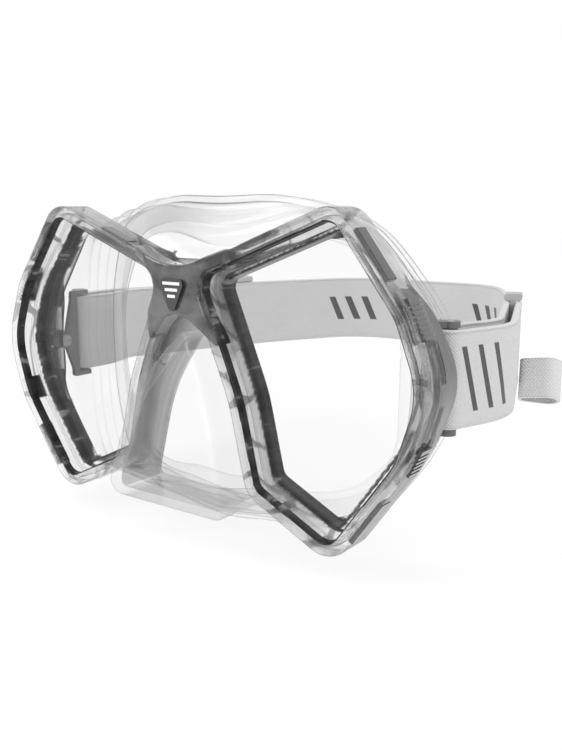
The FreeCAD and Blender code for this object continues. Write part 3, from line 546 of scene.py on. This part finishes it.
def mark_neck_shade(obj):
    """Marks the skin that lines the frame inside each eye opening, which takes the painted near-black
    wall: painted shade for the dark refraction seen there.
    """
    near = tree_of("main_frame")
    mark = obj.data.attributes.new("neck", "FLOAT", "POINT")
    for vertex, value in zip(obj.data.vertices, mark.data):
        place = vertex.co
        if place.y > FRAME_BACK + NECK_BEHIND:
            continue
        hit = near.find_nearest(place, NECK_REACH)[0]
        if hit is None:
            continue
        eye = Vector((math.copysign(EYE_X, place.x), place.y, EYE_Z))
        looks_in = vertex.normal.dot((eye - place).normalized()) > NECK_FACING
        if looks_in and vertex.normal.dot(hit - place) < 0:
            value.value = 1.0


def mark_pocket_shade(obj):
    """Marks the inside of the nose pocket's two side walls, which take painted shade: grey where seen
    across the pocket, standing in for the dark surroundings refracted there.
    """
    mark = obj.data.attributes.new("pocket", "FLOAT", "POINT")
    for vertex, value in zip(obj.data.vertices, mark.data):
        x, y, z = vertex.co
        inside = -math.copysign(1, x) * vertex.normal.x
        if y < FRAME_BACK and abs(x) < POCKET_HALF and z < POCKET_TOP:
            value.value = float(smoothstep(inside, 0.3, 0.6))


def model_skirt():
    """The silicone skirt: nose pocket and eye seats in front, ridged bowl and two lips behind."""
    obj = new_object("skirt_silicone", nodes["skirt"].data.copy(), silicone)
    soften(obj, silicone, 0.7 * MM, 8)
    cut_behind(obj, SEAM)
    mesh = bmesh.new()
    mesh.from_mesh(obj.data)
    angles, outer_ring, inner_ring = bowl_sections()
    swept_ring(mesh, angles, outer_ring)
    swept_ring(mesh, angles, inner_ring)
    bmesh.ops.recalc_face_normals(mesh, faces=mesh.faces)
    mesh.to_mesh(obj.data)
    mesh.free()
    mark_neck_shade(obj)
    mark_pocket_shade(obj)
    obj.data.shade_smooth()
    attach(obj, "frame")
    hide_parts("skirt")


# ------------------------------------------------------------------ bridge cover
SADDLE_DEEP, SADDLE_LEAN = 7.0 * MM, 0.35
LEG_FROM, ARM_FROM = -6 * MM, 12 * MM


def model_bridge():
    """The smoky saddle over the nose bridge: the cover's front made thick and rolled at its edges."""
    obj = new_object("bridge_saddle", nodes["bridge_trim"].data.copy(), smoke)
    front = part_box("bridge_trim")[0].y
    mesh = bmesh.new()
    mesh.from_mesh(obj.data)
    hidden = [f for f in mesh.faces
              if f.normal.y > -0.9 or f.calc_center_median().y > front + 0.1 * MM]
    bmesh.ops.delete(mesh, geom=hidden, context="FACES")
    grown = bmesh.ops.extrude_face_region(mesh, geom=mesh.faces[:])
    moved = [v for v in grown["geom"] if isinstance(v, bmesh.types.BMVert)]
    bmesh.ops.translate(mesh, verts=moved, vec=(0, SADDLE_DEEP, 0))
    bmesh.ops.recalc_face_normals(mesh, faces=mesh.faces)
    mesh.to_mesh(obj.data)
    mesh.free()
    soften(obj, smoke, 0.5 * MM, 22)
    for vertex in obj.data.vertices:
        leg = max(0.0, LEG_FROM - vertex.co.z) * SADDLE_LEAN
        arm = max(0.0, abs(vertex.co.x) - ARM_FROM) * SADDLE_LEAN * (vertex.co.z > 0)
        vertex.co.y += leg + arm
    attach(obj, "frame")
    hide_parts("bridge_trim")


# ------------------------------------------------------------------ webbing
def rounded_path(corners, step):
    """Points along straight runs joined by tangent arcs, from (x, y, radius) corners."""
    sharp = [Vector((x, y)) for x, y, _ in corners]
    points = [sharp[0]]
    for i in range(1, len(corners) - 1):
        back = (sharp[i - 1] - sharp[i]).normalized()
        ahead = (sharp[i + 1] - sharp[i]).normalized()
        half = back.angle(ahead) / 2
        radius = corners[i][2]
        centre = sharp[i] + (back + ahead).normalized() * (radius / math.sin(half))
        start = sharp[i] + back * (radius / math.tan(half)) - centre
        stop = sharp[i] + ahead * (radius / math.tan(half)) - centre
        turn = start.angle_signed(stop)
        pieces = max(3, int(abs(turn) * radius / step))
        for k in range(pieces + 1):
            rotation = Matrix.Rotation(-turn * k / pieces, 2)
            points.append(centre + rotation @ start)
    points.append(sharp[-1])
    filled = [points[0]]
    for point in points[1:]:
        run = point - filled[-1]
        parts = max(1, int(run.length / step))
        begin = filled[-1].copy()
        filled += [begin + run * (k / parts) for k in range(1, parts + 1)]
    return filled


def tape_profile(wide, thick):
    """Half-thickness offsets and heights round a tape's section: flat, with fuller rounded edges."""
    half, edge, lip = wide / 2, thick / 2, 1.15
    side = [(0.80, edge * 0.97), (0.90, edge * 0.97), (0.935, edge * 0.82), (0.955, edge * lip),
            (0.98, edge * 0.9), (1.0, edge * 0.35)]
    upper = [(edge * 0.97, 0.0), (edge * 0.97, half * 0.5)] + [(n, half * z) for z, n in side]
    right = upper + [(-n, z) for n, z in reversed(upper)]
    left = [(-n, -z) for n, z in upper[1:]] + [(n, -z) for n, z in reversed(upper[1:])]
    return right + left


def tape(name, path, rise, wide, thick, material, closed=False):
    """A tape of webbing swept along path, a list of (x, y), standing upright at height rise."""
    count = len(path)
    section = tape_profile(wide, thick)
    mesh = bmesh.new()
    weave = mesh.loops.layers.uv.new("weave")
    lengths = [0.0]
    for i in range(1, count + closed):
        lengths.append(lengths[-1] + (path[i % count] - path[i - 1]).length)
    rings = []
    for i, at in enumerate(path):
        before = path[i - 1] if closed or i else at
        after = path[(i + 1) % count] if closed or i < count - 1 else at
        way = (after - before).normalized()
        out = Vector((-way.y, way.x))
        rings.append([mesh.verts.new((at.x + out.x * n, at.y + out.y * n, rise + z))
                      for n, z in section])
    spans = count if closed else count - 1
    for i in range(spans):
        near, far = rings[i], rings[(i + 1) % count]
        for k in range(len(section)):
            j = (k + 1) % len(section)
            side = mesh.faces.new((near[k], near[j], far[j], far[k]))
            for loop, (step, point) in zip(side.loops, ((0, k), (0, j), (1, j), (1, k))):
                loop[weave].uv = (lengths[i + step], section[point][1])
    if not closed:
        mesh.faces.new(rings[0][::-1])
        mesh.faces.new(rings[-1])
    bmesh.ops.recalc_face_normals(mesh, faces=mesh.faces)
    data = bpy.data.meshes.new(name)
    mesh.to_mesh(data)
    mesh.free()
    return new_object(name, data, material)


strap_low, strap_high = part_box("strap_band")
roller_low, roller_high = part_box("strap_roller_left")
ROLLER = Vector(((roller_low.x + roller_high.x) / 2, (roller_low.y + roller_high.y) / 2))
STRAP_THICK = 2.0 * MM
STRAP_WIDE = strap_high.z - strap_low.z
STRAP_RISE = (strap_high.z + strap_low.z) / 2
REAR_Y = strap_high.y - STRAP_THICK / 2
WRAP = (roller_high.x - roller_low.x) / 2 + STRAP_THICK / 2 + 0.15 * MM
SIDE_CORNER, FRONT_CORNER = Vector((60 * MM, 124 * MM)), Vector((86.5 * MM, 50 * MM))
RUN = (FRONT_CORNER - SIDE_CORNER).normalized()
OUT = Vector((-RUN.y, RUN.x))
PLY_STEP = 4.2 * MM
TAIL_END, MAIN_BEND = 17.5 * MM, 70.5 * MM


def on_strap(along, out):
    """The point so far along the strap's straight side run, and so far out from its middle line."""
    return SIDE_CORNER + RUN * along + OUT * out


def outer_turn_x():
    """Where the tail, tangent to the wrap round the roller, meets the wrap's front line."""
    reach = FRONT_CORNER - ROLLER
    lean = math.atan2(reach.x, reach.y) - math.asin(WRAP / reach.length)
    return FRONT_CORNER.x - (FRONT_CORNER.y - ROLLER.y + WRAP) * math.tan(lean)


def strap_path():
    """The strap's middle line from the back of the head to the tail's free end, on the left."""
    corners = [
        (0, REAR_Y, 0),
        (34.5 * MM, REAR_Y, 28 * MM),
        (*on_strap(0, -PLY_STEP), 90 * MM),
        (*on_strap(MAIN_BEND, -PLY_STEP), 20 * MM),
        (ROLLER.x - WRAP, 44 * MM, 20 * MM),
        (ROLLER.x - WRAP, ROLLER.y - WRAP, WRAP - 0.05 * MM),
        (outer_turn_x(), ROLLER.y - WRAP, WRAP - 0.05 * MM),
        (*FRONT_CORNER, 28 * MM),
        (*on_strap(TAIL_END, 0), 0),
    ]
    return rounded_path(corners, 1.5 * MM)


def model_strap():
    """One band of elastic webbing, doubled back round the roller on each side."""
    left = strap_path()
    right = [Vector((-p.x, p.y)) for p in reversed(left)]
    path = right[:-1] + left
    half = sum((b - a).length for a, b in zip(left, left[1:]))
    tail = (FRONT_CORNER - on_strap(TAIL_END, 0)).length
    marks = []
    for sign in (-1, 1):
        marks.append((half + sign * 36 * MM, 3, 8 * MM, 0.42, 11 * MM, 0.45))
        marks.append((half + sign * (half - tail - 11 * MM), 3, 6.5 * MM, 0.32, 19 * MM, 0.3))
    cloth = woven("strap_cloth", 0.56, 0.8 * MM, marks)
    obj = tape("strap_webbing", path, STRAP_RISE, STRAP_WIDE - 0.1 * MM, STRAP_THICK, cloth)
    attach(obj, "strap")
    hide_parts("strap_band")


LOOP_OUT, LOOP_WIDE, LOOP_TALL, LOOP_THICK = 15.0 * MM, 11.0 * MM, 15.0 * MM, 1.2 * MM
LOOP_TILT, LOOP_PLACE, LOOP_RISE = math.radians(28), 14.5 * MM, -36.0 * MM
LOOP_GAP = 0.35 * MM


def model_loop(side, sign):
    """A closed oval of ribbed tape stitched to the keeper, its lower edge tipped forward."""
    half, edge = LOOP_WIDE / 2, LOOP_THICK / 2
    corners = [
        (edge, 0, 0),
        (edge, -half * 0.35, 1.5 * MM),
        (LOOP_OUT * 0.8, -half + edge, 4.0 * MM),
        (LOOP_OUT - edge, 0, 3.0 * MM),
        (LOOP_OUT * 0.8, half - edge, 4.0 * MM),
        (edge, half * 0.35, 1.5 * MM),
        (edge, 0, 0),
    ]
    path = rounded_path(corners, 0.8 * MM)[:-1]
    cloth = woven(f"loop_cloth_{side}", 0.62, 1.1 * MM)
    obj = tape(f"loop_tape_{side}", path, 0, LOOP_TALL, LOOP_THICK, cloth, closed=True)
    start = on_strap(LOOP_PLACE, STRAP_THICK / 2 + LOOP_GAP)
    out, up = Vector((*OUT, 0)), Vector((0, 0, 1))
    tip = Matrix.Rotation(-LOOP_TILT, 3, out)
    turn = (tip @ Matrix((out, up.cross(out), up)).transposed()).to_4x4()
    obj.data.transform(Matrix.Translation((start.x, start.y, LOOP_RISE)) @ turn)
    if sign < 0:
        obj.data.transform(Matrix.Scale(-1, 4, (1, 0, 0)))
        obj.data.flip_normals()
    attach(obj, f"keeper_{side}")
    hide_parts(f"pull_loop_{side}")


model_skirt()
model_bridge()
model_strap()
model_loop("left", 1)
model_loop("right", -1)

# ------------------------------------------------------------------ floor, light, camera
AZIMUTH, ELEVATION = math.radians(36.532), math.radians(11.196)
CAMERA_AT = Vector((0.17676, -0.18359, 0.02549))
back = Vector((math.sin(AZIMUTH) * math.cos(ELEVATION), -math.cos(AZIMUTH) * math.cos(ELEVATION),
               math.sin(ELEVATION)))


def floor_material():
    """Pale matt floor: mostly self-lit, so that it stays white and takes only a faint shadow."""
    sh = Shader("floor_paint")
    paint = sh.node("ShaderNodeBsdfDiffuse")
    sh.link(sh.ramp(sh.noise(4.0, 2.0), (0.3, 0.90), (0.7, 0.93)), paint.inputs["Color"])
    glow = sh.node("ShaderNodeEmission", Strength=1.02)
    return sh.surface(sh.mix(0.75, paint.outputs["BSDF"], glow.outputs["Emission"]))


floor_mesh = bpy.data.meshes.new("floor")
floor_mesh.from_pydata([(-3, -3, 0), (3, -3, 0), (3, 3, 0), (-3, 3, 0)], [], [(0, 1, 2, 3)])
floor = new_object("floor", floor_mesh, floor_material())
floor.location.z = cad_box[0][2] - 0.5 * MM


def studio():
    """A white room. Mirror and bent rays also see its dark cards, which draw the plastic's edges."""
    world = bpy.data.worlds.new("studio")
    scene.world = world
    world.use_nodes = True
    tree = world.node_tree
    tree.nodes.clear()

    def node(kind, **settings):
        made = tree.nodes.new(kind)
        for key, value in settings.items():
            setattr(made, key, value)
        return made

    place = node("ShaderNodeTexCoord")
    lean = node("ShaderNodeVectorMath", operation="DOT_PRODUCT")
    lean.inputs[1].default_value = tuple(-back)
    tree.links.new(place.outputs["Generated"], lean.inputs[0])
    shift = node("ShaderNodeMapRange")
    shift.inputs["From Min"].default_value = -1.0
    tree.links.new(lean.outputs["Value"], shift.inputs["Value"])
    cards = node("ShaderNodeValToRGB")
    fill_ramp(cards, ((0.0, 1.0), (0.40, 0.95), (0.46, 0.30), (0.54, 0.22), (0.60, 0.97), (1.0, 1.0)))
    tree.links.new(shift.outputs["Result"], cards.inputs["Fac"])
    path = node("ShaderNodeLightPath")
    plain = node("ShaderNodeMath", operation="MAXIMUM")
    tree.links.new(path.outputs["Is Camera Ray"], plain.inputs[0])
    tree.links.new(path.outputs["Is Diffuse Ray"], plain.inputs[1])
    choose = node("ShaderNodeMix", data_type="RGBA")
    tree.links.new(plain.outputs["Value"], choose.inputs["Factor"])
    tree.links.new(cards.outputs["Color"], choose.inputs[6])
    choose.inputs[7].default_value = grey(1.0)
    light = node("ShaderNodeBackground")
    tree.links.new(choose.outputs[2], light.inputs["Color"])
    out = node("ShaderNodeOutputWorld")
    tree.links.new(light.outputs["Background"], out.inputs["Surface"])


def area_light(name, place, target, size, power):
    data = bpy.data.lights.new(name, "AREA")
    data.size = size
    data.energy = power
    lamp = bpy.data.objects.new(name, data)
    lamp.location = place
    lamp.rotation_euler = (Vector(target) - Vector(place)).to_track_quat("-Z", "Y").to_euler()
    scene.collection.objects.link(lamp)


studio()
area_light("key", (-0.5, -0.6, 0.9), (0, 0.03, -0.02), 0.6, 5.0)
area_light("side", (0.9, -0.1, 0.5), (0.06, 0.05, -0.02), 0.4, 2.0)

camera_data = bpy.data.cameras.new("camera")
camera_data.lens = 40.8
camera_data.sensor_width = 36.0
camera_data.clip_start = 0.01
camera = bpy.data.objects.new("camera", camera_data)
camera.location = CAMERA_AT
camera.rotation_euler = (-back).to_track_quat("-Z", "Y").to_euler()
scene.collection.objects.link(camera)
scene.camera = camera
scene.view_settings.view_transform = "Standard"
scene.cycles.transparent_max_bounces = 48
scene.cycles.transmission_bounces = 24
scene.cycles.max_bounces = 24
